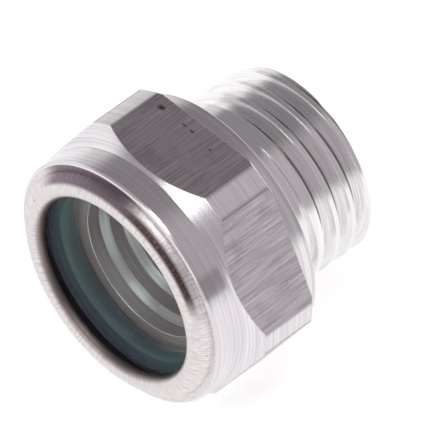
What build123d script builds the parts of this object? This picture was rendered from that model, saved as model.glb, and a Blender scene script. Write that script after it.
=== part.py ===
from build123d import *
import math
import os

# Screw-in tank level gauge: a turned hexagon body that holds an O-ring and a glass disc under
# its own rolled rim.  Millimetres.  The axis lies along Y: the window looks towards -Y, the
# thread points towards +Y, and two of the hexagon's flats are level.
# The origin is on the axis, in the plane of the sealing shoulder.

# ---- driving dimensions ------------------------------------------------------------------
THREAD_DIA = 14.0           # M14 x 1.5, over its crests
THREAD_LEN = 8.0            # sealing shoulder to the end of the thread
THREAD_END_DIA = 13.2       # small end of the lead-in chamfer
THREAD_LEAD_IN = 0.55       # lead-in chamfer, along the axis

LAND_DIA = 18.6             # turned land behind the hexagon; its face is the sealing shoulder
LAND_LEN = 1.2
HEX_AF = 18.8               # hexagon across its flats, for a 19 mm spanner
HEX_CORNER_DIA = 20.7       # the hexagon's corners, turned round
HEX_LEN = 5.6               # land to collar, with the front chamfer
HEX_REAR_BREAK = 0.15       # break round the rear of the corners
COLLAR_DIA = 18.4           # round collar, at the small end of the 45 degree front chamfer
COLLAR_LEN = 2.0
COLLAR_EDGE = 0.25          # break of the collar's front edge

RIM_DIA = 17.2              # rolled rim where its bend leaves the body
RIM_BEND = 1.1              # outer radius of the bend
RIM_CREST_HEIGHT = 0.9      # collar front to the rim's crest
WINDOW_DIA = 13.9           # opening inside the rolled lip
LIP_ROUND = 0.45            # rounding from the crest into the opening
LIP_HEIGHT = 0.7            # glass to the crest

GLASS_DIA = 16.0
GLASS_THICK = 3.0
GLASS_BREAK = 0.2           # ground edges of the glass
RING_CENTRE_DIA = 14.2      # O-ring 12.42 x 1.78, through the middle of its cord
RING_CORD = 1.78
RING_SQUEEZED = 1.45        # height of the cord under the glass
POCKET_DIA = 16.05          # bore that takes the glass and the ring

SEAT_BORE_DIA = 11.0        # first step of the bore, inside the ring's seat
SEAT_BORE_LEN = 1.0
NECK_BORE_DIA = 10.0        # second step, after a 45 degree cone
NECK_BORE_LEN = 0.9
OIL_BORE_DIA = 9.0          # passage through the threaded end
BORE_EXIT_BREAK = 0.3

# ---- stations along the axis, forward of the sealing shoulder ------------------------------
HEX_FRONT = LAND_LEN + HEX_LEN
CORNER_FRONT = HEX_FRONT - (HEX_CORNER_DIA - COLLAR_DIA) / 2
COLLAR_FRONT = HEX_FRONT + COLLAR_LEN
RIM_CREST = COLLAR_FRONT + RIM_CREST_HEIGHT
GLASS_FRONT = RIM_CREST - LIP_HEIGHT
GLASS_BACK = GLASS_FRONT - GLASS_THICK
RING_SEAT = GLASS_BACK - RING_SQUEEZED
SEAT_BORE_END = RING_SEAT - SEAT_BORE_LEN
NECK_FRONT = SEAT_BORE_END - (SEAT_BORE_DIA - NECK_BORE_DIA) / 2
NECK_END = NECK_FRONT - NECK_BORE_LEN
OIL_BORE_FRONT = NECK_END - (NECK_BORE_DIA - OIL_BORE_DIA) / 2


def at(diameter, station):
    """Point of a half section, from its diameter and its station forward of the shoulder."""
    return (diameter / 2, -station)


def straight_run(*points):
    """Straight edges from point to point of a half section."""
    return [Line(a, b) for a, b in zip(points, points[1:])]


def turned(edges):
    """Solid of revolution about the Y axis of the half section that the edges close."""
    return revolve(make_face(edges), Axis.Y)


def rolled_rim():
    """Edges of the rolled rim: lip, rounding, crest and the outer bend down to the collar."""
    lip_edge = at(WINDOW_DIA, RIM_CREST - LIP_ROUND)
    rounding = CenterArc(at(WINDOW_DIA + 2 * LIP_ROUND, RIM_CREST - LIP_ROUND), LIP_ROUND, 180, 90)
    bend_depth = RIM_CREST_HEIGHT - RIM_BEND
    bend_turn = 90 + math.degrees(math.asin(bend_depth / RIM_BEND))
    bend = CenterArc(at(RIM_DIA - 2 * RIM_BEND, RIM_CREST - RIM_BEND), RIM_BEND, 270, bend_turn)
    lip = Line(at(WINDOW_DIA, GLASS_FRONT), lip_edge)
    crest = Line(rounding @ 1, bend @ 0)
    return [lip, rounding, crest, bend]


def outside(rim_foot):
    """Edges from the foot of the rim back to the end of the thread."""
    return straight_run(
        rim_foot,
        at(COLLAR_DIA - 2 * COLLAR_EDGE, COLLAR_FRONT),
        at(COLLAR_DIA, COLLAR_FRONT - COLLAR_EDGE),
        at(COLLAR_DIA, HEX_FRONT),
        at(HEX_CORNER_DIA, CORNER_FRONT),
        at(HEX_CORNER_DIA, LAND_LEN + HEX_REAR_BREAK),
        at(HEX_CORNER_DIA - 2 * HEX_REAR_BREAK, LAND_LEN),
        at(LAND_DIA, LAND_LEN),
        at(LAND_DIA, 0),
        at(THREAD_DIA, 0),
        at(THREAD_DIA, THREAD_LEAD_IN - THREAD_LEN),
        at(THREAD_END_DIA, -THREAD_LEN),
    )


def inside():
    """Edges from the end of the thread forward through the bore and up to the lip."""
    return straight_run(
        at(THREAD_END_DIA, -THREAD_LEN),
        at(OIL_BORE_DIA + 2 * BORE_EXIT_BREAK, -THREAD_LEN),
        at(OIL_BORE_DIA, BORE_EXIT_BREAK - THREAD_LEN),
        at(OIL_BORE_DIA, OIL_BORE_FRONT),
        at(NECK_BORE_DIA, NECK_END),
        at(NECK_BORE_DIA, NECK_FRONT),
        at(SEAT_BORE_DIA, SEAT_BORE_END),
        at(SEAT_BORE_DIA, RING_SEAT),
        at(POCKET_DIA, RING_SEAT),
        at(POCKET_DIA, GLASS_FRONT),
        at(WINDOW_DIA, GLASS_FRONT),
    )


def hexagon_bar():
    """Hexagonal bar along Y with two level flats, longer than the gauge."""
    outline = Plane.XZ * RegularPolygon(HEX_AF / 2, 6, major_radius=False)
    return extrude(outline, 2 * THREAD_LEN, both=True)


def body():
    """Turned body: one piece from the rolled rim to the end of the thread."""
    rim = rolled_rim()
    rim_foot = rim[-1] @ 1
    blank = turned(rim + outside(rim_foot) + inside())
    return blank & hexagon_bar()


def sight_glass():
    """Glass disc with ground edges."""
    return turned(straight_run(
        at(0, GLASS_BACK),
        at(GLASS_DIA - 2 * GLASS_BREAK, GLASS_BACK),
        at(GLASS_DIA, GLASS_BACK + GLASS_BREAK),
        at(GLASS_DIA, GLASS_FRONT - GLASS_BREAK),
        at(GLASS_DIA - 2 * GLASS_BREAK, GLASS_FRONT),
        at(0, GLASS_FRONT),
        at(0, GLASS_BACK),
    ))


def seal_ring():
    """O-ring, pressed flat where it meets the seat and the glass."""
    middle = (GLASS_BACK + RING_SEAT) / 2
    cord = Pos(*at(RING_CENTRE_DIA, middle)) * Circle(RING_CORD / 2)
    gap = Pos(*at(RING_CENTRE_DIA, middle)) * Rectangle(RING_CORD, RING_SQUEEZED)
    return revolve(cord & gap, Axis.Y)


os.makedirs("parts", exist_ok=True)
export_step(body(), "parts/body.step")
export_step(sight_glass(), "parts/sight_glass.step")
export_step(seal_ring(), "parts/seal_ring.step")
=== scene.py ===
# %% [markdown]
# # Screw-in tank level gauge
# A turned aluminium body with a rolled rim holds a glass disc over a green O-ring.  The solids
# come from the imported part; here they get their thread, their edges and their finishes.
# The first cell loads that part as the frame that everything else is built around.

# %% Load the frame
import math

import bmesh
import bpy
from mathutils import Matrix, Vector


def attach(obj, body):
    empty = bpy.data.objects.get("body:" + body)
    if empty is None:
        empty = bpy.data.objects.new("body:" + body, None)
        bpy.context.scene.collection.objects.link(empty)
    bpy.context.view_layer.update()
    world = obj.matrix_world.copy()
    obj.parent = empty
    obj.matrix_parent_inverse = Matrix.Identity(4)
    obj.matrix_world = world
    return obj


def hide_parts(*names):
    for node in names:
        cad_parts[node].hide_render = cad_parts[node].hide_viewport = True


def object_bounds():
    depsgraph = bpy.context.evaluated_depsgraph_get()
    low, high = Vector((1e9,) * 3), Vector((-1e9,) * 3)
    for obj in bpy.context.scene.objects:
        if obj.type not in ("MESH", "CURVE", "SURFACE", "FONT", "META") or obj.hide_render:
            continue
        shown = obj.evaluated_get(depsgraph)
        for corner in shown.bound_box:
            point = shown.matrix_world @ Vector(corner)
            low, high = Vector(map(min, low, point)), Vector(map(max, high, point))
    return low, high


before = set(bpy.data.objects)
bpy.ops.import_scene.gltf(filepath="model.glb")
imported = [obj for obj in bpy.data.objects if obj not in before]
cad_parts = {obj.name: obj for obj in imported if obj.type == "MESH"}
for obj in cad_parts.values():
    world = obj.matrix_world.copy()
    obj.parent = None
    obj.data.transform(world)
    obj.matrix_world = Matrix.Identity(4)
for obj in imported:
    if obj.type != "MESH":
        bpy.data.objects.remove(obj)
cad_low, cad_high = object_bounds()
MM = 0.001
cad_size = [round(v / MM, 2) for v in cad_high - cad_low]
print("solids:", sorted(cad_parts), "box in mm:", cad_size)

# %% [markdown]
# ## Sizes
# The axis lies along Y.  A station is a distance forward of the sealing shoulder, towards the
# window, so a station s sits at y = -s.  The sizes are those of the part's source, in mm, with
# one exception: the tip of the lip is drawn 0.15 mm fuller, as a rolled edge swells where it
# folds over the glass.  Named sizes keep the section readable, and one change reaches all of it.

# %% Sizes
THREAD_DIA, THREAD_LEN, THREAD_END_DIA, THREAD_LEAD_IN = 14.0, 8.0, 13.2, 0.55
LAND_DIA, LAND_LEN = 18.6, 1.2
HEX_AF, HEX_CORNER_DIA, HEX_LEN, HEX_REAR_BREAK = 18.8, 20.7, 5.6, 0.15
COLLAR_DIA, COLLAR_LEN, COLLAR_EDGE = 18.4, 2.0, 0.25
RIM_DIA, RIM_BEND, RIM_HEIGHT = 17.2, 1.1, 0.9
WINDOW_DIA, LIP_ROUND, LIP_HEIGHT = 13.6, 0.6, 0.7
GLASS_DIA, GLASS_THICK, GLASS_BREAK = 16.0, 3.0, 0.2
RING_CENTRE_DIA, RING_CORD, RING_SQUEEZED = 14.2, 1.78, 1.45
POCKET_DIA, SEAT_BORE_DIA, NECK_BORE_DIA, OIL_BORE_DIA = 16.05, 11.0, 10.0, 9.0
SEAT_BORE_LEN, NECK_BORE_LEN, BORE_EXIT_BREAK = 1.0, 0.9, 0.3
print("glass", GLASS_DIA, "by", GLASS_THICK, "under a window of", WINDOW_DIA, "mm")

# %% [markdown]
# The stations follow one another from the shoulder to the crest of the rim and back down the
# bore, so a changed length moves everything in front of it, as it would on the lathe.

# %% Stations
HEX_FRONT = LAND_LEN + HEX_LEN
CORNER_FRONT = HEX_FRONT - (HEX_CORNER_DIA - COLLAR_DIA) / 2
COLLAR_FRONT = HEX_FRONT + COLLAR_LEN
RIM_CREST = COLLAR_FRONT + RIM_HEIGHT
GLASS_FRONT = RIM_CREST - LIP_HEIGHT
GLASS_BACK = GLASS_FRONT - GLASS_THICK
RING_SEAT = GLASS_BACK - RING_SQUEEZED
SEAT_BORE_END = RING_SEAT - SEAT_BORE_LEN
NECK_FRONT = SEAT_BORE_END - (SEAT_BORE_DIA - NECK_BORE_DIA) / 2
NECK_END = NECK_FRONT - NECK_BORE_LEN
OIL_BORE_FRONT = NECK_END - (NECK_BORE_DIA - OIL_BORE_DIA) / 2
print("crest of the rim at station", round(RIM_CREST, 2))
print("glass from station", round(GLASS_BACK, 2), "to", round(GLASS_FRONT, 2))

# %% [markdown]
# ## Turning a piece on a lathe
# Body, glass and ring are all round, and a lathe makes a round piece from a half section.  The
# mesh is made the same way: a closed loop of (radius, station) points is carried round the axis.
# A Screw modifier could do it too, but own faces leave no seam, and a section that touches the
# axis closes there in a fan.  Small steps keep the reflections even.

# %% Lathe
STEPS_ROUND = 240


def arc(radius, station, bend, first, last, steps):
    """Points of an arc in the half section; 0 degrees points outwards, 90 towards the window."""
    turns = [math.radians(first + (last - first) * i / steps) for i in range(steps + 1)]
    return [(radius + bend * math.cos(t), station + bend * math.sin(t)) for t in turns]


def outward(mesh):
    """Merges doubles and points every face outwards."""
    work = bmesh.new()
    work.from_mesh(mesh)
    bmesh.ops.remove_doubles(work, verts=work.verts, dist=1e-7)
    bmesh.ops.recalc_face_normals(work, faces=work.faces)
    work.to_mesh(mesh)
    work.free()


def lathe(name, section, steps=STEPS_ROUND):
    """Closed mesh turned from a closed half section of (radius, station) points, in mm."""
    verts, faces = [], []
    count = len(section)
    for step in range(steps):
        turn = 2 * math.pi * step / steps
        for radius, station in section:
            verts.append((radius * math.sin(turn) * MM, -station * MM, radius * math.cos(turn) * MM))
    rows = [(i, (i + 1) % count) for i in range(count)]
    rows = [(i, j) for i, j in rows if section[i][0] > 0 or section[j][0] > 0]
    for step in range(steps):
        here, ahead = step * count, (step + 1) % steps * count
        faces += [(here + i, here + j, ahead + j, ahead + i) for i, j in rows]
    mesh = bpy.data.meshes.new(name)
    mesh.from_pydata(verts, [], faces)
    outward(mesh)
    piece = bpy.data.objects.new(name, mesh)
    bpy.context.scene.collection.objects.link(piece)
    return piece


print("one step of the lathe:", 360 / STEPS_ROUND, "degrees")

# %% [markdown]
# A modifier is only a recipe.  These helpers turn its result into a plain mesh, so that nothing
# live is left on a piece, and shade a piece smooth but for its real edges.

# %% Settling a piece
def settled(piece):
    """Turns a piece's modifiers into its plain mesh, so that nothing live is left on it."""
    shaped = piece.evaluated_get(bpy.context.evaluated_depsgraph_get())
    mesh = bpy.data.meshes.new_from_object(shaped)
    piece.modifiers.clear()
    piece.data = mesh
    return piece


def crisp(piece, angle):
    """Smooth shading, with every edge sharper than the angle, in degrees, kept sharp."""
    piece.data.polygons.foreach_set("use_smooth", [True] * len(piece.data.polygons))
    piece.data.set_sharp_from_angle(angle=math.radians(angle))


METAL_CREASE, GLASS_CREASE, RUBBER_CREASE = 9, 20, 40
print("edges stay sharp from", METAL_CREASE, "degrees on metal")

# %% [markdown]
# ## The body
# The body is one turned piece, from the rim that is rolled over the glass to the end of the
# spigot.  Its half section runs up the lip, over the crest, down the outside and back through
# the stepped bore.  A section is the right tool, because every face but the flats is round.

# %% Half section of the body
SHOULDER_BREAK = 0.04
COLLAR_SOFT = 0.3 * COLLAR_EDGE


def body_section():
    """Closed loop of the body's half section, from the lip over the crest and back."""
    tip_radius = WINDOW_DIA / 2 + LIP_ROUND
    bend_radius = RIM_DIA / 2 - RIM_BEND
    foot = math.degrees(math.asin((RIM_BEND - RIM_HEIGHT) / RIM_BEND))
    points = [(WINDOW_DIA / 2, GLASS_FRONT)]
    points += arc(tip_radius, RIM_CREST - LIP_ROUND, LIP_ROUND, 180, 90, 15)
    points += arc(bend_radius, RIM_CREST - RIM_BEND, RIM_BEND, 90, foot, 14)
    points += [
        (COLLAR_DIA / 2 - COLLAR_EDGE, COLLAR_FRONT),
        (COLLAR_DIA / 2 - COLLAR_SOFT, COLLAR_FRONT - COLLAR_SOFT),
        (COLLAR_DIA / 2, COLLAR_FRONT - COLLAR_EDGE),
        (COLLAR_DIA / 2, HEX_FRONT),
        (HEX_CORNER_DIA / 2, CORNER_FRONT),
        (HEX_CORNER_DIA / 2, LAND_LEN + HEX_REAR_BREAK),
        (HEX_CORNER_DIA / 2 - HEX_REAR_BREAK, LAND_LEN),
        (LAND_DIA / 2, LAND_LEN),
        (LAND_DIA / 2, SHOULDER_BREAK),
        (LAND_DIA / 2 - SHOULDER_BREAK, 0),
        (THREAD_DIA / 2, 0),
        (THREAD_DIA / 2, THREAD_LEAD_IN - THREAD_LEN),
        (THREAD_END_DIA / 2, -THREAD_LEN),
        (OIL_BORE_DIA / 2 + BORE_EXIT_BREAK, -THREAD_LEN),
        (OIL_BORE_DIA / 2, BORE_EXIT_BREAK - THREAD_LEN),
        (OIL_BORE_DIA / 2, OIL_BORE_FRONT),
        (NECK_BORE_DIA / 2, NECK_END),
        (NECK_BORE_DIA / 2, NECK_FRONT),
        (SEAT_BORE_DIA / 2, SEAT_BORE_END),
        (SEAT_BORE_DIA / 2, RING_SEAT),
        (POCKET_DIA / 2, RING_SEAT),
        (POCKET_DIA / 2, GLASS_FRONT),
    ]
    return points


print("points in the half section:", len(body_section()))

# %% [markdown]
# The hexagon is what is left of the bar that the body is turned from.  The turned blank is
# therefore cut by a hexagonal bar, and the 45 degree chamfer in front of the corners leaves its
# curves on the flats by itself.

# %% Hexagonal bar
def hexagon_bar(name):
    """Solid hexagonal bar along Y with two level flats, a little longer than the body."""
    corner, spare = HEX_AF / math.sqrt(3), 2
    near, far = -RIM_CREST - spare, THREAD_LEN + spare
    verts = []
    for y in (near, far):
        for k in range(6):
            turn = math.radians(30 + 60 * k)
            verts.append((corner * math.sin(turn) * MM, y * MM, corner * math.cos(turn) * MM))
    faces = [tuple(range(6)), tuple(range(6, 12))]
    faces += [(k, (k + 1) % 6, (k + 1) % 6 + 6, k + 6) for k in range(6)]
    mesh = bpy.data.meshes.new(name)
    mesh.from_pydata(verts, [], faces)
    outward(mesh)
    bar = bpy.data.objects.new(name, mesh)
    bpy.context.scene.collection.objects.link(bar)
    return bar


print("across flats", HEX_AF, "across the turned corners", HEX_CORNER_DIA)

# %% [markdown]
# In the workshop the bar comes first and the lathe second.  Here the blank is turned first and
# the bar cuts it, which gives the same solid and leaves the round faces whole.

# %% Turned blank and hexagon
body = lathe("gauge_body", body_section())
bar = hexagon_bar("hexagon_bar")
cut = body.modifiers.new("hexagon", "BOOLEAN")
cut.operation, cut.solver, cut.object = "INTERSECT", "EXACT", bar
settled(body)
bpy.data.objects.remove(bar)
print("body after the hexagon:", len(body.data.polygons), "faces")

# %% [markdown]
# A file or a deburring tool leaves a fine break on every outside edge, and that break is what
# catches the light.  A narrow bevel makes it.

# %% Edge breaks
EDGE_BREAK, EDGE_ANGLE = 0.05, 18
breaks = body.modifiers.new("edge breaks", "BEVEL")
breaks.width, breaks.segments = EDGE_BREAK * MM, 1
breaks.limit_method, breaks.angle_limit = "ANGLE", math.radians(EDGE_ANGLE)
settled(body)
print("body with its edge breaks:", len(body.data.polygons), "faces")

# %% [markdown]
# ## Node helpers
# Trees of nodes are long to write out, so five small helpers make them readable: one links two
# sockets, one adds a node, one feeds an input, one adds a Math node and one makes a group with
# its named sockets.  Building them in the script keeps every value in sight.

# %% Node helpers
def link(tree, source, target):
    tree.links.new(source, target)


def add(tree, kind, **settings):
    """Adds a node and sets its plain properties."""
    node = tree.nodes.new(kind)
    for name, value in settings.items():
        setattr(node, name, value)
    return node


def feed(tree, socket, value):
    """Feeds an input with a socket, a number or a colour of three numbers."""
    if isinstance(value, bpy.types.NodeSocket):
        link(tree, value, socket)
    elif value is not None:
        socket.default_value = (*value, 1.0) if socket.type == "RGBA" else value


def calc(tree, operation, a, b=None, c=None):
    """Math node; each input is a socket or a number."""
    node = add(tree, "ShaderNodeMath", operation=operation)
    for slot, value in zip(node.inputs, (a, b, c)):
        feed(tree, slot, value)
    return node.outputs[0]


def new_group(kind, name, inputs, outputs):
    """New node group with its sockets; returns the tree, its given sockets and its made ones."""
    tree = bpy.data.node_groups.new(name, kind)
    for title, socket_kind, value in inputs:
        socket = tree.interface.new_socket(title, in_out="INPUT", socket_type=socket_kind)
        if value is not None:
            socket.default_value = value
    for title, socket_kind in outputs:
        tree.interface.new_socket(title, in_out="OUTPUT", socket_type=socket_kind)
    return tree, add(tree, "NodeGroupInput").outputs, add(tree, "NodeGroupOutput").inputs


FLOAT, VECTOR = "NodeSocketFloat", "NodeSocketVector"
print("node helpers:", [helper.__name__ for helper in (link, add, feed, calc, new_group)])

# %% [markdown]
# ## The thread
# A thread is a V groove that climbs one pitch a turn, and a single-point tool cuts it out of the
# plain spigot.  It could be stacked from rings, but rings don't climb.  Here Geometry Nodes lay a
# helix from its turns, pitch and radius, and the last part of a turn lifts the helix out of the
# metal, as the tool is withdrawn there.

# %% Helix of the tool
def helix_nodes(tree, given):
    """Curve that the tool follows, along Z, with its run-out."""
    steps_a_turn, clear_of_metal = 120, 1.2
    line = add(tree, "GeometryNodeCurvePrimitiveLine")
    fine = add(tree, "GeometryNodeResampleCurve")
    link(tree, line.outputs[0], fine.inputs["Curve"])
    link(tree, calc(tree, "MULTIPLY", given["Turns"], steps_a_turn), fine.inputs["Count"])
    along = add(tree, "GeometryNodeSplineParameter").outputs["Factor"]
    turn = calc(tree, "MULTIPLY", along, given["Turns"])
    angle = calc(tree, "MULTIPLY_ADD", turn, 2 * math.pi, given["Phase"])
    left = calc(tree, "SUBTRACT", given["Turns"], turn)
    lift = add(tree, "ShaderNodeMapRange", interpolation_type="SMOOTHSTEP")
    link(tree, left, lift.inputs["Value"])
    link(tree, given["Run-out Turns"], lift.inputs["From Min"])
    lift.inputs["From Max"].default_value = 0.0
    link(tree, calc(tree, "MULTIPLY", given["Depth"], clear_of_metal), lift.inputs["To Max"])
    radius = calc(tree, "ADD", given["Major Radius"], lift.outputs["Result"])
    place = add(tree, "ShaderNodeCombineXYZ")
    link(tree, calc(tree, "MULTIPLY", radius, calc(tree, "COSINE", angle)), place.inputs["X"])
    link(tree, calc(tree, "MULTIPLY", radius, calc(tree, "SINE", angle)), place.inputs["Y"])
    link(tree, calc(tree, "MULTIPLY_ADD", turn, given["Pitch"], given["Start"]), place.inputs["Z"])
    helix = add(tree, "GeometryNodeSetPosition")
    link(tree, fine.outputs[0], helix.inputs["Geometry"])
    link(tree, place.outputs[0], helix.inputs["Position"])
    upright = add(tree, "GeometryNodeSetCurveNormal", mode="Z_UP")
    link(tree, helix.outputs[0], upright.inputs["Curve"])
    return upright.outputs[0]


print("the helix takes its sizes from named inputs")

# %% [markdown]
# The tool's point is a 60 degree V with a narrow flat at its tip.  A trapezoid of those sizes is
# carried along the helix.  It stands a little proud of the spigot, so that no skin is left over
# the groove.  The tree ends in Realize Instances and Set Material, so its mesh is plain.

# %% Thread cutter
def vee_nodes(tree, given):
    """Section of the tool: its point inwards, its mouth a little proud of the spigot."""
    proud_share, root_share, half_angle = 0.04, 0.07, math.radians(30)
    vee = add(tree, "GeometryNodeCurvePrimitiveQuadrilateral", mode="TRAPEZOID")
    proud = calc(tree, "MULTIPLY", given["Pitch"], proud_share)
    height = calc(tree, "ADD", given["Depth"], proud)
    root = calc(tree, "MULTIPLY", given["Pitch"], root_share)
    mouth = calc(tree, "MULTIPLY_ADD", height, 2 * math.tan(half_angle), root)
    link(tree, mouth, vee.inputs["Bottom Width"])
    link(tree, root, vee.inputs["Top Width"])
    link(tree, height, vee.inputs["Height"])
    vee.inputs["Offset"].default_value = 0.0
    turned = add(tree, "GeometryNodeTransform")
    link(tree, vee.outputs[0], turned.inputs["Geometry"])
    turned.inputs["Rotation"].default_value = (0, 0, math.pi / 2)
    shift = add(tree, "ShaderNodeCombineXYZ")
    link(tree, calc(tree, "MULTIPLY_ADD", height, -0.5, proud), shift.inputs["X"])
    link(tree, shift.outputs[0], turned.inputs["Translation"])
    return turned.outputs[0]


def thread_cutter_tree():
    sizes = ("Major Radius", "Pitch", "Depth", "Start", "Turns", "Run-out Turns", "Phase")
    tree, given, made = new_group(
        "GeometryNodeTree", "thread cutter",
        [(name, FLOAT, None) for name in sizes] + [("Finish", "NodeSocketMaterial", None)],
        [("Geometry", "NodeSocketGeometry")])
    sweep = add(tree, "GeometryNodeCurveToMesh")
    link(tree, helix_nodes(tree, given), sweep.inputs["Curve"])
    link(tree, vee_nodes(tree, given), sweep.inputs["Profile Curve"])
    sweep.inputs["Fill Caps"].default_value = True
    lay = add(tree, "GeometryNodeTransform")
    lay.inputs["Rotation"].default_value = (math.pi / 2, 0, 0)
    link(tree, sweep.outputs[0], lay.inputs["Geometry"])
    real = add(tree, "GeometryNodeRealizeInstances")
    link(tree, lay.outputs[0], real.inputs[0])
    coat = add(tree, "GeometryNodeSetMaterial")
    link(tree, real.outputs[0], coat.inputs["Geometry"])
    link(tree, given["Finish"], coat.inputs["Material"])
    link(tree, coat.outputs[0], made["Geometry"])
    return tree


cutter_tree = thread_cutter_tree()
print("inputs:", [item.name for item in cutter_tree.interface.items_tree if item.in_out == "INPUT"])

# %% [markdown]
# An M14 fine thread has a pitch of 1.5 mm and is about 0.9 mm deep.  The helix starts a millimetre
# beyond the end of the spigot, so the groove runs in through the lead-in chamfer, and it leaves a
# plain run-out before the shoulder.  A boolean with the cutter then takes the groove away.

# %% Cut the thread
THREAD_PITCH, THREAD_DEPTH = 1.5, 0.90
THREAD_START = -(THREAD_LEN + 1.0)
THREAD_TURNS, RUN_OUT_TURNS, THREAD_PHASE = 4.9, 0.6, -3.39


def set_inputs(modifier, values):
    """Sets a modifier's inputs by their sockets' identifiers."""
    for item in modifier.node_group.interface.items_tree:
        if item.item_type == "SOCKET" and item.in_out == "INPUT":
            modifier[item.identifier] = values[item.name]


thread_finish = bpy.data.materials.new("thread flanks")
cutter = bpy.data.objects.new("thread_cutter", bpy.data.meshes.new("thread_cutter"))
bpy.context.scene.collection.objects.link(cutter)
tool_path = cutter.modifiers.new("tool path", "NODES")
tool_path.node_group = cutter_tree
set_inputs(tool_path, {
    "Major Radius": THREAD_DIA / 2 * MM,
    "Pitch": THREAD_PITCH * MM,
    "Depth": THREAD_DEPTH * MM,
    "Start": THREAD_START * MM,
    "Turns": THREAD_TURNS,
    "Run-out Turns": RUN_OUT_TURNS,
    "Phase": THREAD_PHASE,
    "Finish": thread_finish,
})
settled(cutter)
outward(cutter.data)
groove = body.modifiers.new("thread", "BOOLEAN")
groove.operation, groove.solver, groove.object = "DIFFERENCE", "EXACT", cutter
settled(body)
bpy.data.objects.remove(cutter)
crisp(body, METAL_CREASE)
print("body with its thread:", len(body.data.polygons), "faces")

# %% [markdown]
# ## Glass disc
# The window is a disc of clear glass with ground edges, and it could be a plain cylinder, but the
# ground breaks are what stops its edge from chipping, and they show under the lip.  A hair of air
# is left in front of it and behind it, because two faces in one place would render black.

# %% Glass disc
AIR = 0.012
half_glass = GLASS_DIA / 2
glass_disc = lathe("glass_disc", [
    (0, GLASS_BACK + AIR),
    (half_glass - GLASS_BREAK, GLASS_BACK + AIR),
    (half_glass, GLASS_BACK + GLASS_BREAK),
    (half_glass, GLASS_FRONT - GLASS_BREAK),
    (half_glass - GLASS_BREAK, GLASS_FRONT - AIR),
    (0, GLASS_FRONT - AIR),
])
crisp(glass_disc, GLASS_CREASE)
print("glass disc:", len(glass_disc.data.polygons), "faces")

# %% [markdown]
# ## O-ring
# The rubber ring lies in the pocket under the glass.  The rim presses the glass on to it, so its
# round cord is flat where it meets the seat and the glass, and bulges between them.

# %% O-ring
cord = RING_CORD / 2
flat = math.degrees(math.asin((RING_SQUEEZED / 2 - AIR) / cord))
middle = (GLASS_BACK + RING_SEAT) / 2
ring_section = arc(RING_CENTRE_DIA / 2, middle, cord, -flat, flat, 14)
ring_section += arc(RING_CENTRE_DIA / 2, middle, cord, 180 - flat, 180 + flat, 14)
o_ring = lathe("o_ring", ring_section)
crisp(o_ring, RUBBER_CREASE)
print("o-ring:", len(o_ring.data.polygons), "faces")

# %% [markdown]
# ## Where each finish goes
# One piece of metal carries several finishes, because each tool leaves its own marks: the lathe
# leaves rings, the drawn bar keeps its long streaks on the flats, the rolling tool drags the rim,
# and the thread is cut last.  Each face gets its finish from its place on the half section.

# %% Finishes by face
FINISHES = ("turned alloy", "drawn flats", "rounded corners", "rolled rim", "bored seat", "thread flanks")
finish = {name: bpy.data.materials.new(name) for name in FINISHES[:-1]}
finish["thread flanks"] = thread_finish
HAIR, NEAR, WALL = 0.01, 0.05, 0.8
SIXTH = math.radians(60)


def finish_of(centre, normal):
    """Name of the finish of a face, from its centre in mm and its outward normal."""
    radius, station = math.hypot(centre.x, centre.z), -centre.y
    outwards = (normal.x * centre.x + normal.z * centre.z) / max(radius, HAIR)
    in_pocket = station < GLASS_FRONT + HAIR and radius < POCKET_DIA / 2 + NEAR
    on_spigot = station < 0 and radius > OIL_BORE_DIA / 2 + WALL
    if in_pocket and not on_spigot and (outwards < -0.3 or -0.1 < station < GLASS_FRONT - HAIR):
        return "bored seat"
    if station < -2 * HAIR:
        return "thread flanks"
    if station > COLLAR_FRONT - HAIR:
        return "rolled rim"
    if radius > HEX_CORNER_DIA / 2 - 0.09 and abs(normal.y) < 0.1:
        return "rounded corners"
    turn = SIXTH * round(math.atan2(centre.x, centre.z) / SIXTH)
    reach = centre.x * math.sin(turn) + centre.z * math.cos(turn)
    square_on = normal.x * math.sin(turn) + normal.z * math.cos(turn)
    if abs(reach - HEX_AF / 2) < HAIR / 2 and square_on > 0.999 and station > LAND_LEN:
        return "drawn flats"
    return "turned alloy"


def give_finishes(piece):
    """Gives each face its finish and counts them."""
    counts = dict.fromkeys(FINISHES, 0)
    piece.data.materials.clear()
    for name in FINISHES:
        piece.data.materials.append(finish[name])
    for face in piece.data.polygons:
        name = finish_of(face.center / MM, face.normal)
        face.material_index = FINISHES.index(name)
        counts[name] += 1
    return counts


print("faces by finish:", give_finishes(body))

# %% [markdown]
# ## Shared effects
# Metal and rubber need the same three measures of a point: its angle round the axis, its radius
# and its station.  A small shader group gives them, so a ring can follow the lathe and a streak
# the bar.  Object coordinates are used, because they stay with the piece.

# %% Measures round the axis
def measures_group():
    tree, given, made = new_group(
        "ShaderNodeTree", "measures round the axis",
        [("Position", VECTOR, None)],
        [("Angle", FLOAT), ("Radius", FLOAT), ("Station", FLOAT)])
    parts = add(tree, "ShaderNodeSeparateXYZ")
    link(tree, given["Position"], parts.inputs[0])
    x, y, z = parts.outputs
    squares = calc(tree, "MULTIPLY_ADD", x, x, calc(tree, "MULTIPLY", z, z))
    link(tree, calc(tree, "ARCTAN2", x, z), made["Angle"])
    link(tree, calc(tree, "MULTIPLY", calc(tree, "SQRT", squares), 1 / MM), made["Radius"])
    link(tree, calc(tree, "MULTIPLY", y, -1 / MM), made["Station"])
    return tree


measures = measures_group()
print("shader group:", measures.name)

# %% [markdown]
# Masks are built from a few nodes again and again: a group placed with its values, a noise, a
# vector put together from three values, and a smooth step from one value to another.

# %% Mask helpers
def place_group(tree, group, **values):
    """Puts a shader group into a tree; each value is a socket or a number."""
    node = add(tree, "ShaderNodeGroup", node_tree=group)
    for name, value in values.items():
        feed(tree, node.inputs[name.replace("_", " ")], value)
    return node.outputs


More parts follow.
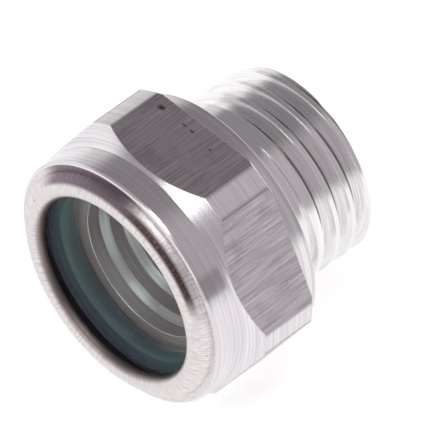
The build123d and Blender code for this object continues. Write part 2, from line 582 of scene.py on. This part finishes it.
def noise(tree, vector, scale, detail=2.0, rough=0.5):
    node = add(tree, "ShaderNodeTexNoise", noise_dimensions="3D")
    for name, value in (("Scale", scale), ("Detail", detail), ("Roughness", rough)):
        node.inputs[name].default_value = value
    link(tree, vector, node.inputs["Vector"])
    return node.outputs["Fac"]


def combine(tree, x, y, z):
    node = add(tree, "ShaderNodeCombineXYZ")
    for socket, value in zip(node.inputs, (x, y, z)):
        feed(tree, socket, value)
    return node.outputs[0]


def span(tree, value, low, high, to_low=0.0, to_high=1.0):
    """Smooth step of a value from low..high to to_low..to_high."""
    node = add(tree, "ShaderNodeMapRange", interpolation_type="SMOOTHSTEP")
    names = ("Value", "From Min", "From Max", "To Min", "To Max")
    for name, number in zip(names, (value, low, high, to_low, to_high)):
        feed(tree, node.inputs[name], number)
    return node.outputs["Result"]


print("mask helpers:", [helper.__name__ for helper in (place_group, noise, combine, span)])

# %% [markdown]
# A lathe tool leaves fine rings.  They hardly change round the piece and change quickly along its
# section, so the noise is read with the angle squeezed and the section stretched.  A wave texture
# would give rings too, but evenly spaced ones, which no tool leaves.

# %% Turning rings
def rings_group():
    broad_scale = 1.3
    tree, given, made = new_group(
        "ShaderNodeTree", "turning rings",
        [("Radius", FLOAT, 0.0), ("Station", FLOAT, 0.0), ("Angle", FLOAT, 0.0),
         ("Fineness", FLOAT, 6.0), ("Reach", FLOAT, 0.5)],
        [("Fine", FLOAT), ("Broad", FLOAT)])
    run = calc(tree, "MULTIPLY", given["Angle"], given["Reach"])
    across = calc(tree, "MULTIPLY", given["Radius"], given["Fineness"])
    along = calc(tree, "MULTIPLY", given["Station"], given["Fineness"])
    link(tree, noise(tree, combine(tree, across, along, run), 1.0, 3.0, 0.6), made["Fine"])
    broad_place = combine(tree, given["Radius"], given["Station"], calc(tree, "MULTIPLY", run, 1.5))
    link(tree, noise(tree, broad_place, broad_scale, 1.0), made["Broad"])
    return tree


rings = rings_group()
print("shader group:", rings.name)

# %% [markdown]
# Drawn bar has the opposite marks: long streaks along the axis that change quickly across it.
# The same group drags the finish of the rim, where the rolling tool wiped the metal inwards.

# %% Drawn streaks
def streaks_group():
    tree, given, made = new_group(
        "ShaderNodeTree", "drawn streaks",
        [("Angle", FLOAT, 0.0), ("Station", FLOAT, 0.0),
         ("Fineness", FLOAT, 60.0), ("Stretch", FLOAT, 0.25)],
        [("Fine", FLOAT), ("Broad", FLOAT)])
    across = calc(tree, "MULTIPLY", given["Angle"], given["Fineness"])
    along = calc(tree, "MULTIPLY", given["Station"], given["Stretch"])
    link(tree, noise(tree, combine(tree, across, along, 0.0), 1.0, 3.0, 0.65), made["Fine"])
    wide, slow = calc(tree, "MULTIPLY", across, 0.18), calc(tree, "MULTIPLY", along, 0.8)
    link(tree, noise(tree, combine(tree, wide, slow, 3.0), 1.0, 2.0), made["Broad"])
    return tree


streaks = streaks_group()
print("shader group:", streaks.name)

# %% [markdown]
# Handling leaves pits and grime in no order.  Voronoi cells place the pits, and the colour of a
# cell decides whether it has one, so their number can be set.  A cloud gives the smudges.

# %% Specks and smudges
def specks_group():
    tree, given, made = new_group(
        "ShaderNodeTree", "specks and smudges",
        [("Position", VECTOR, None), ("Size", FLOAT, 0.5), ("Amount", FLOAT, 0.1)],
        [("Specks", FLOAT), ("Smudges", FLOAT)])
    scaled = add(tree, "ShaderNodeVectorMath", operation="SCALE")
    link(tree, given["Position"], scaled.inputs[0])
    link(tree, calc(tree, "DIVIDE", 1 / MM, given["Size"]), scaled.inputs["Scale"])
    cells = add(tree, "ShaderNodeTexVoronoi", feature="F1")
    cells.inputs["Scale"].default_value = 1.0
    link(tree, scaled.outputs[0], cells.inputs["Vector"])
    tint = add(tree, "ShaderNodeSeparateColor")
    link(tree, cells.outputs["Color"], tint.inputs[0])
    chosen = calc(tree, "LESS_THAN", tint.outputs[0], given["Amount"])
    near = span(tree, cells.outputs["Distance"], 0.10, 0.22, 1.0, 0.0)
    link(tree, calc(tree, "MULTIPLY", chosen, near), made["Specks"])
    cloud = noise(tree, scaled.outputs[0], 0.35, 3.0, 0.6)
    link(tree, span(tree, cloud, 0.52, 0.72), made["Smudges"])
    return tree


specks = specks_group()
print("shader group:", specks.name)

# %% [markdown]
# The top flat has a few dark knocks, each in a place of its own.  A knock is a small ellipsoid
# with a ragged border, given by its centre and its half sizes.

# %% Knocks
def vector_step(tree, operation, first, second):
    node = add(tree, "ShaderNodeVectorMath", operation=operation)
    feed(tree, node.inputs[0], first)
    feed(tree, node.inputs[1], second)
    return node.outputs[0]


def knocks_group():
    tree, given, made = new_group(
        "ShaderNodeTree", "knocks",
        [("Position", VECTOR, None), ("Centre", VECTOR, None), ("Half Size", VECTOR, None)],
        [("Knock", FLOAT)])
    scaled = vector_step(tree, "MULTIPLY", given["Position"], (1 / MM, 1 / MM, 1 / MM))
    offset = vector_step(tree, "SUBTRACT", scaled, given["Centre"])
    reach = add(tree, "ShaderNodeVectorMath", operation="LENGTH")
    link(tree, vector_step(tree, "DIVIDE", offset, given["Half Size"]), reach.inputs[0])
    ragged = calc(tree, "MULTIPLY_ADD", noise(tree, scaled, 6.0), 0.9, reach.outputs["Value"])
    link(tree, span(tree, ragged, 0.6, 1.5, 1.0, 0.0), made["Knock"])
    return tree


knocks = knocks_group()
print("shader group:", knocks.name)

# %% [markdown]
# ## Finishes
# Every material starts from the position of a point, and all but the glass from its three
# measures too, so two helpers set that up.  The others mix colours, raise a height, lay rings and
# fade a mask over an angle.  Metal is nearly all reflection, so its look comes from the tint, the
# roughness and a bump: a few thousandths of a millimetre, and 0.02 or 0.03 on the rim and in the
# bore.

# %% Material helpers
def surface(name, metallic=0.0):
    """Material ready for nodes: its tree, its shader and the position of a point."""
    mat = bpy.data.materials[name] if name in bpy.data.materials else bpy.data.materials.new(name)
    mat.use_nodes = True
    tree = mat.node_tree
    shader = tree.nodes["Principled BSDF"]
    shader.inputs["Metallic"].default_value = metallic
    return tree, shader, add(tree, "ShaderNodeTexCoord").outputs["Object"]


def measured(tree, position):
    """Angle, radius and station of a point."""
    return place_group(tree, measures, Position=position)


def blend(tree, factor, first, second):
    """Mixes two colours; a colour is a socket or three numbers."""
    node = add(tree, "ShaderNodeMix", data_type="RGBA")
    colours = [socket for socket in node.inputs if socket.type == "RGBA"]
    for socket, value in zip([node.inputs[0], *colours], (factor, first, second)):
        feed(tree, socket, value)
    return next(socket for socket in node.outputs if socket.type == "RGBA")


def raise_height(tree, shader, height, depth, before=None):
    """Bump of a height, depth in mm, over an earlier normal."""
    node = add(tree, "ShaderNodeBump")
    node.inputs["Distance"].default_value = depth * MM
    link(tree, height, node.inputs["Height"])
    feed(tree, node.inputs["Normal"], before)
    link(tree, node.outputs[0], shader.inputs["Normal"])
    return node.outputs[0]


def ring_marks(tree, point, fineness, reach=0.5):
    """The turning rings of a finish."""
    return place_group(
        tree, rings, Radius=point["Radius"], Station=point["Station"], Angle=point["Angle"],
        Fineness=fineness, Reach=reach)


def turn_span(tree, point, first, last, to_first=0.0, to_last=1.0):
    """Smooth step over the angle round the axis, in degrees from the top flat."""
    return span(tree, point["Angle"], math.radians(first), math.radians(last), to_first, to_last)


print("material helpers:", [helper.__name__ for helper in (surface, blend, raise_height)])

# %% [markdown]
# Collar, chamfer and land are as the lathe left them: bright aluminium with fine rings.  One
# short stretch of the collar is painted darker, as a painted dark reflection, and two angles bound it.

# %% Turned alloy
# Angles in degrees that bound the painted dark reflection on the collar, and its strength.
DARK_REFLECTION_BEGINS, DARK_REFLECTION_ENDS, DARK_REFLECTION_STRENGTH = (47, 52), (58, 61), 0.55


def painted_collar_reflection(tree, point):
    """Mask of the stretch of the collar that is painted darker, as a painted dark reflection."""
    begins, ends = turn_span(tree, point, *DARK_REFLECTION_BEGINS), turn_span(tree, point, *DARK_REFLECTION_ENDS, 1.0, 0.0)
    on_collar = span(tree, point["Station"], HEX_FRONT + 0.1, HEX_FRONT + 0.3)
    stretch = calc(tree, "MULTIPLY", calc(tree, "MULTIPLY", begins, ends), on_collar)
    return calc(tree, "MULTIPLY", stretch, DARK_REFLECTION_STRENGTH)


def turned_alloy():
    tree, shader, position = surface("turned alloy", 1.0)
    point = measured(tree, position)
    ring = ring_marks(tree, point, 8.0)
    colour = blend(tree, span(tree, ring["Fine"], 0.3, 0.7), (0.62, 0.59, 0.61), (0.81, 0.80, 0.80))
    close = span(tree, ring["Broad"], 0.35, 0.65, 0.0, 0.3)
    colour = blend(tree, close, colour, (0.62, 0.575, 0.61))
    # Painted dark reflection: one stretch of the collar is darkened in its colour.
    colour = blend(tree, painted_collar_reflection(tree, point), colour, (0.30, 0.275, 0.29))
    link(tree, colour, shader.inputs["Base Color"])
    link(tree, span(tree, ring["Broad"], 0.3, 0.7, 0.17, 0.26), shader.inputs["Roughness"])
    raise_height(tree, shader, ring["Fine"], 0.009)


turned_alloy()
print("finish: turned alloy, painted_dark from", DARK_REFLECTION_BEGINS[0], "to", DARK_REFLECTION_ENDS[1], "degrees")

# %% [markdown]
# The six flats are the skin of the drawn bar.  They are darker than the turned faces, streaked
# along the axis, and the top one carries the knocks.

# %% Drawn flats
TOP = HEX_AF / 2
KNOCK_COLOUR = (0.11, 0.075, 0.075)
KNOCKS = (
    ((-3.25, -2.1, TOP), (0.42, 0.30, 0.5)),
    ((-1.1, -2.1, TOP), (0.30, 0.10, 0.5)),
    ((-0.4, -2.15, TOP), (0.28, 0.12, 0.5)),
    ((1.58, -2.43, TOP), (0.14, 0.12, 0.5)),
)


def drawn_flats():
    tree, shader, position = surface("drawn flats", 1.0)
    point = measured(tree, position)
    streak = place_group(
        tree, streaks, Angle=point["Angle"], Station=point["Station"], Fineness=110.0)
    spots = place_group(tree, specks, Position=position, Size=0.8, Amount=0.08)
    colour = blend(tree, span(tree, streak["Fine"], 0.3, 0.72), (0.36, 0.33, 0.345), (0.72, 0.675, 0.70))
    dull = span(tree, streak["Broad"], 0.35, 0.7, 0.0, 0.45)
    colour = blend(tree, dull, colour, (0.38, 0.35, 0.365))
    grime = calc(tree, "MULTIPLY", spots["Smudges"], 0.35)
    colour = blend(tree, grime, colour, (0.26, 0.235, 0.24))
    for centre, half_size in KNOCKS:
        knock = place_group(tree, knocks, Position=position, Centre=centre, Half_Size=half_size)
        colour = blend(tree, knock["Knock"], colour, KNOCK_COLOUR)
    link(tree, colour, shader.inputs["Base Color"])
    link(tree, span(tree, streak["Broad"], 0.3, 0.7, 0.26, 0.36), shader.inputs["Roughness"])
    raise_height(tree, shader, streak["Fine"], 0.007)


drawn_flats()
print("finish: drawn flats with", len(KNOCKS), "knocks")

# %% [markdown]
# The corners were turned round, so they show rings again, between two borders that are painted a
# little darker as a painted dark reflection.  The angle folded into one sixth of a turn gives all
# twelve borders.

# %% Rounded corners
def rounded_corners():
    tree, shader, position = surface("rounded corners", 1.0)
    point = measured(tree, position)
    ring = ring_marks(tree, point, 8.0)
    from_corner = calc(tree, "PINGPONG", calc(tree, "ADD", point["Angle"], SIXTH / 2), SIXTH / 2)
    colour = blend(tree, span(tree, ring["Fine"], 0.3, 0.7), (0.66, 0.64, 0.65), (0.82, 0.80, 0.81))
    # Painted dark reflection along both borders of each rounded corner.
    painted_border_reflection = span(tree, from_corner, math.radians(3.4), math.radians(5.4), 0.0, 0.7)
    colour = blend(tree, painted_border_reflection, colour, (0.26, 0.23, 0.245))
    link(tree, colour, shader.inputs["Base Color"])
    shader.inputs["Roughness"].default_value = 0.42
    raise_height(tree, shader, ring["Fine"], 0.008)


rounded_corners()
print("finish: rounded corners")

# %% [markdown]
# The rim was rolled over the glass.  The roll wiped the metal into short marks across the crest.
# On one side a darker band lies outside the crest, mauve where it is wide and brown where it is
# narrow.  It is a painted dark reflection of the room, put into the colour: a mask of the radius
# and the angle, ragged where the wiping marks run out.

# %% Painted dark band of the rim
# Radii in mm and angles in degrees between which each border of the band fades.
BAND_FROM, BAND_TO = (7.85, 8.15), (8.32, 8.5)
BAND_BEGINS, BAND_NARROWS, BAND_ENDS = (-58, -42), (0, 16), (54, 70)


def painted_reflection_band(tree, point):
    """Mask of the painted dark reflection band and how far round it has turned brown."""
    brown = turn_span(tree, point, *BAND_NARROWS)
    wide = calc(tree, "SUBTRACT", 1.0, brown)
    outside = calc(tree, "MAXIMUM", span(tree, point["Radius"], *BAND_TO, 1.0, 0.0), wide)
    across = calc(tree, "MULTIPLY", span(tree, point["Radius"], *BAND_FROM), outside)
    begins, ends = turn_span(tree, point, *BAND_BEGINS), turn_span(tree, point, *BAND_ENDS, 1.0, 0.0)
    return calc(tree, "MULTIPLY", across, calc(tree, "MULTIPLY", begins, ends)), brown


print("painted_reflection band between radii", BAND_FROM[0], "and", BAND_TO[1], "mm")

# %% [markdown]
# The rest of the rim is light and dull, with painted shade on the lip against the glass and a few
# pits.  The streaks of the drawn bar serve for the wiping marks: read along the section, they run
# across the crest, and a bump of 0.03 mm makes them catch the light.

# %% Rolled rim
# Radii in mm over which the painted shade on the inner side of the lip fades out.
LIP_SHADE_RADII = (6.85, 7.2)


def rolled_rim():
    tree, shader, position = surface("rolled rim", 1.0)
    point = measured(tree, position)
    section = calc(tree, "SUBTRACT", point["Station"], point["Radius"])
    streak = place_group(
        tree, streaks, Angle=point["Angle"], Station=section, Fineness=55.0, Stretch=0.9)
    ring = ring_marks(tree, point, 4.0)
    spots = place_group(tree, specks, Position=position, Size=0.6, Amount=0.10)
    wiped = span(tree, streak["Fine"], 0.32, 0.68)
    colour = blend(tree, wiped, (0.60, 0.555, 0.56), (0.80, 0.775, 0.77))
    # Painted dark reflection on the rim: mauve where the band is wide, brown where it is narrow.
    band, brown = painted_reflection_band(tree, point)
    painted_reflection_colour = blend(tree, brown, (0.20, 0.155, 0.18), (0.075, 0.042, 0.036))
    ragged = span(tree, streak["Fine"], 0.25, 0.6, 0.85, 1.0)
    colour = blend(tree, calc(tree, "MULTIPLY", band, ragged), colour, painted_reflection_colour)
    # Painted shade: the inner side of the lip, against the glass, is darkened.
    lip_shade = span(tree, point["Radius"], *LIP_SHADE_RADII, 0.9, 0.0)
    colour = blend(tree, lip_shade, colour, (0.16, 0.13, 0.115))
    pits = calc(tree, "MULTIPLY", spots["Specks"], 0.5)
    colour = blend(tree, pits, colour, (0.25, 0.23, 0.21))
    link(tree, colour, shader.inputs["Base Color"])
    link(tree, span(tree, streak["Fine"], 0.3, 0.7, 0.30, 0.42), shader.inputs["Roughness"])
    first = raise_height(tree, shader, streak["Fine"], 0.03)
    raise_height(tree, shader, ring["Broad"], 0.02, first)


rolled_rim()
print("finish: rolled rim")

# %% [markdown]
# The bore lies behind the glass and is drawn rough, as a drill and a boring bar leave it.  Its
# seat, the step that the O-ring lies on, is painted paler as painted light, since its reflections
# fall on the dark ring and pocket.

# %% Bored seat
def bored_seat():
    tree, shader, position = surface("bored seat", 0.85)
    point = measured(tree, position)
    ring = ring_marks(tree, point, 4.0, 0.3)
    colour = blend(tree, span(tree, ring["Fine"], 0.3, 0.7), (0.34, 0.355, 0.365), (0.53, 0.55, 0.565))
    seat_edge = SEAT_BORE_DIA / 2
    # Painted light: the seat and the pocket outside it are paler in their colour.
    painted_seat_light = span(tree, point["Radius"], seat_edge - 0.02, seat_edge + 0.02, 0.0, 0.8)
    colour = blend(tree, painted_seat_light, colour, (0.86, 0.88, 0.90))
    link(tree, colour, shader.inputs["Base Color"])
    shader.inputs["Roughness"].default_value = 0.42
    raise_height(tree, shader, ring["Fine"], 0.03)


bored_seat()
print("finish: bored seat")

# %% [markdown]
# The thread is the brightest part, as its colour is painted lighter than the other turned metal:
# painted light on flanks that the room leaves dark.  Its root is painted dark, as painted shade in
# the groove, and a Bevel node rounds its crests for the light without more faces.

# %% Thread flanks
ROOT_RADIUS = THREAD_DIA / 2 - THREAD_DEPTH
CREST_ROUND = 0.06


def thread_flanks():
    tree, shader, position = surface("thread flanks", 1.0)
    point = measured(tree, position)
    ring = ring_marks(tree, point, 8.0, 0.6)
    # Painted light: the flank colour is set lighter than the other turned faces.
    colour = blend(tree, span(tree, ring["Fine"], 0.3, 0.7), (0.76, 0.745, 0.755), (0.90, 0.895, 0.89))
    # Painted shade: the root of the groove is darkened.
    root = span(tree, point["Radius"], ROOT_RADIUS + 0.02, ROOT_RADIUS + 0.10, 0.85, 0.0)
    colour = blend(tree, root, colour, (0.20, 0.18, 0.185))
    link(tree, colour, shader.inputs["Base Color"])
    shader.inputs["Roughness"].default_value = 0.17
    rounded = add(tree, "ShaderNodeBevel", samples=4)
    rounded.inputs["Radius"].default_value = CREST_ROUND * MM
    raise_height(tree, shader, ring["Fine"], 0.004, rounded.outputs[0])


thread_flanks()
print("finish: thread flanks, root at radius", round(ROOT_RADIUS, 2))

# %% [markdown]
# The O-ring is dull green rubber with faint rings from its mould.  Rubber is no metal, so its
# colour is written as it should show, and the light only shades it.

# %% Green rubber
def green_rubber():
    tree, shader, position = surface("green rubber")
    point = measured(tree, position)
    ring = ring_marks(tree, point, 2.0, 0.4)
    colour = blend(tree, span(tree, ring["Broad"], 0.35, 0.65), (0.115, 0.20, 0.155), (0.16, 0.27, 0.20))
    link(tree, colour, shader.inputs["Base Color"])
    link(tree, span(tree, ring["Fine"], 0.3, 0.7, 0.42, 0.55), shader.inputs["Roughness"])
    raise_height(tree, shader, ring["Fine"], 0.004)


green_rubber()
o_ring.data.materials.append(bpy.data.materials["green rubber"])
print("finish: green rubber")

# %% [markdown]
# The glass is clear with a trace of green.  Bare polished glass would mirror the white card as a
# grey veil over the ring and the bore, so a thin film, as on a bloomed lens, takes most of that
# mirror away.  Its rim is ground and not polished, and its colour is painted almost black, as
# painted shade for the dark crescent under the lip.

# %% Clear glass and its ground edge
FILM_NANOMETRES, FILM_IOR, GLASS_IOR = 163.0, 1.22, 1.5


def clear_glass():
    tree, shader, position = surface("clear glass")
    colour = blend(tree, noise(tree, position, 900.0), (0.93, 0.985, 0.965), (0.96, 1.0, 0.985))
    link(tree, colour, shader.inputs["Base Color"])
    plain = {"Roughness": 0.0, "Transmission Weight": 1.0, "IOR": GLASS_IOR,
             "Thin Film Thickness": FILM_NANOMETRES, "Thin Film IOR": FILM_IOR}
    for name, value in plain.items():
        shader.inputs[name].default_value = value


def painted_dark_glass_edge():
    tree, shader, position = surface("ground glass edge painted dark")
    # Painted shade: the glass edge is coloured almost black.
    colour = blend(tree, noise(tree, position, 1500.0), (0.010, 0.020, 0.017), (0.020, 0.034, 0.029))
    link(tree, colour, shader.inputs["Base Color"])
    shader.inputs["Roughness"].default_value = 0.6


clear_glass()
painted_dark_glass_edge()
for name in ("clear glass", "ground glass edge painted dark"):
    glass_disc.data.materials.append(bpy.data.materials[name])
for face in glass_disc.data.polygons:
    on_edge = math.hypot(face.center.x, face.center.z) / MM > half_glass - 0.02
    face.material_index = int(on_edge)
print("materials:", sorted(mat.name for mat in bpy.data.materials))

# %% [markdown]
# ## On the frame
# Nothing on this gauge moves, so every piece rides on the root.  Each takes the place of its CAD
# solid, and the list also gives the colour slot that the solid had.

# %% Mount on the frame
PIECES = (
    (body, "body", "turned_alloy"),
    (glass_disc, "sight_glass", "clear_glass"),
    (o_ring, "seal_ring", "green_rubber"),
)
for piece, node, slot in PIECES:
    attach(piece, "root")
    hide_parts(node)
print("mounted:", [piece.name for piece, node, slot in PIECES])

# %% [markdown]
# ## Studio
# The part stands on a pale card that runs far past the view, so the card is also the background.
# It takes the shadow, and a little light of its own lifts it to white where the camera, a
# reflection or the glass looks at it.  Dull surfaces get only the light that it scatters.

# %% Floor
CARD_REACH, CARD_LIFT = 1.5, 0.6
level = cad_low.z
corners = ((-1, -1), (1, -1), (1, 1), (-1, 1))
floor_mesh = bpy.data.meshes.new("floor")
floor_mesh.from_pydata([(x * CARD_REACH, y * CARD_REACH, level) for x, y in corners], [], [(0, 1, 2, 3)])
floor = bpy.data.objects.new("floor", floor_mesh)
bpy.context.scene.collection.objects.link(floor)
card = bpy.data.materials.new("pale card")
card.use_nodes = True
tree, shader = card.node_tree, card.node_tree.nodes["Principled BSDF"]
shader.inputs["Base Color"].default_value = (0.8, 0.8, 0.8, 1)
shader.inputs["Roughness"].default_value = 0.9
shader.inputs["Specular IOR Level"].default_value = 0.0
shader.inputs["Emission Strength"].default_value = CARD_LIFT
ray = add(tree, "ShaderNodeLightPath").outputs
seen = calc(tree, "MAXIMUM", ray["Is Glossy Ray"], ray["Is Transmission Ray"])
link(tree, calc(tree, "MAXIMUM", seen, ray["Is Camera Ray"]), shader.inputs["Emission Color"])
floor_mesh.materials.append(card)
print("floor at", round(level / MM, 2), "mm")

# %% [markdown]
# Bare metal shows its surroundings.  The room is a grey shell, a little lighter at the right, with
# a bright wall at the left, a glow low at the right and a bright strip behind.  They draw the long
# bright and dark bands on the collar and the thread.  The direction of a point of the sky gives
# its level, and its darker parts are faintly lilac, as the shaded metal is.

# %% Room
world = bpy.data.worlds.new("studio")
bpy.context.scene.world = world
world.use_nodes = True
tree = world.node_tree
way = add(tree, "ShaderNodeSeparateXYZ")
link(tree, add(tree, "ShaderNodeTexCoord").outputs["Generated"], way.inputs[0])
side, depth, height = way.outputs
shell = span(tree, depth, -0.35, 0.45, 0.45, 0.28)
near_right = span(tree, side, -0.25, 0.35, 0.0, 0.50)
low_left = span(tree, height, 0.2, 0.5, 1.0, 0.0)
left_wall = calc(tree, "MULTIPLY", span(tree, side, -0.78, -0.5, 0.78, 0.0), low_left)
low_right = span(tree, height, 0.03, 0.16, 1.0, 0.0)
right_glow = calc(tree, "MULTIPLY", span(tree, side, 0.6, 0.85, 0.0, 0.8), low_right)
rear_strip = span(tree, depth, 0.6, 0.88)
room = shell
for part in (near_right, left_wall, right_glow, rear_strip):
    room = calc(tree, "MAXIMUM", room, part)
background = tree.nodes["Background"]
tint = blend(tree, span(tree, room, 0.52, 0.74), (1.0, 0.935, 0.985), (1.0, 1.0, 1.0))
link(tree, tint, background.inputs["Color"])
link(tree, room, background.inputs["Strength"])
print("room:", len(tree.nodes), "nodes")

# %% [markdown]
# Three soft boxes light the part.  A lamp's power is set from the brightness that its face should
# show, where 1 is white.  The front and the overhead lamp are small and the metal spreads their
# reflections, so those two are brighter than white.

# %% Lamps
LAMP_DISTANCE = 0.5


def lamp(name, direction, across, width, height, radiance):
    """Soft rectangular lamp that faces the part; radiance 1 shows as white."""
    data = bpy.data.lights.new(name, "AREA")
    data.shape, data.size, data.size_y = "RECTANGLE", width, height
    data.energy = radiance * math.pi * width * height
    holder = bpy.data.objects.new(name, data)
    bpy.context.scene.collection.objects.link(holder)
    out = Vector(direction).normalized()
    wide = (Vector(across) - Vector(across).dot(out) * out).normalized()
    turn = Matrix((wide, out.cross(wide), out)).transposed()
    holder.matrix_world = Matrix.Translation(out * LAMP_DISTANCE) @ turn.to_4x4()
    print(name, "power", round(data.energy, 3), "W")


lamp("front softbox", (-0.04, -0.845, 0.50), (1, 0, 0), 0.20, 0.22, 1.9)
lamp("left softbox", (-0.93, -0.25, 0.25), (0, 1, 0), 0.40, 0.25, 0.4)
lamp("overhead softbox", (0.19, -0.18, 0.965), (1, 0, 0), 0.16, 0.30, 3.0)

# %% [markdown]
# ## Camera
# A long lens from above and to the right keeps the axis, the rims and the flats almost free of
# perspective.  The camera is placed by its direction, its distance and a small roll.

# %% Camera
CAMERA_AIM = Vector((0.18, -0.03, -0.11)) * MM
CAMERA_DISTANCE, LENS, SENSOR = 0.6356, 799.4, 36.0
azimuth, elevation, roll = (math.radians(a) for a in (43.57, 47.88, 2.46))
back = Vector((
    math.sin(azimuth) * math.cos(elevation),
    -math.cos(azimuth) * math.cos(elevation),
    math.sin(elevation)))
level_line = Vector((0, 0, 1)).cross(back).normalized()
right_line = level_line * math.cos(roll) + back.cross(level_line) * math.sin(roll)
turn = Matrix((right_line, back.cross(right_line), back)).transposed()
camera_data = bpy.data.cameras.new("camera")
camera_data.lens, camera_data.sensor_width = LENS, SENSOR
camera_data.clip_start, camera_data.clip_end = 0.05, 10.0
camera = bpy.data.objects.new("camera", camera_data)
bpy.context.scene.collection.objects.link(camera)
camera.matrix_world = Matrix.Translation(CAMERA_AIM + back * CAMERA_DISTANCE) @ turn.to_4x4()
bpy.context.scene.camera = camera
bpy.context.scene.view_settings.view_transform = "Standard"
print("camera direction", [round(v, 3) for v in back])
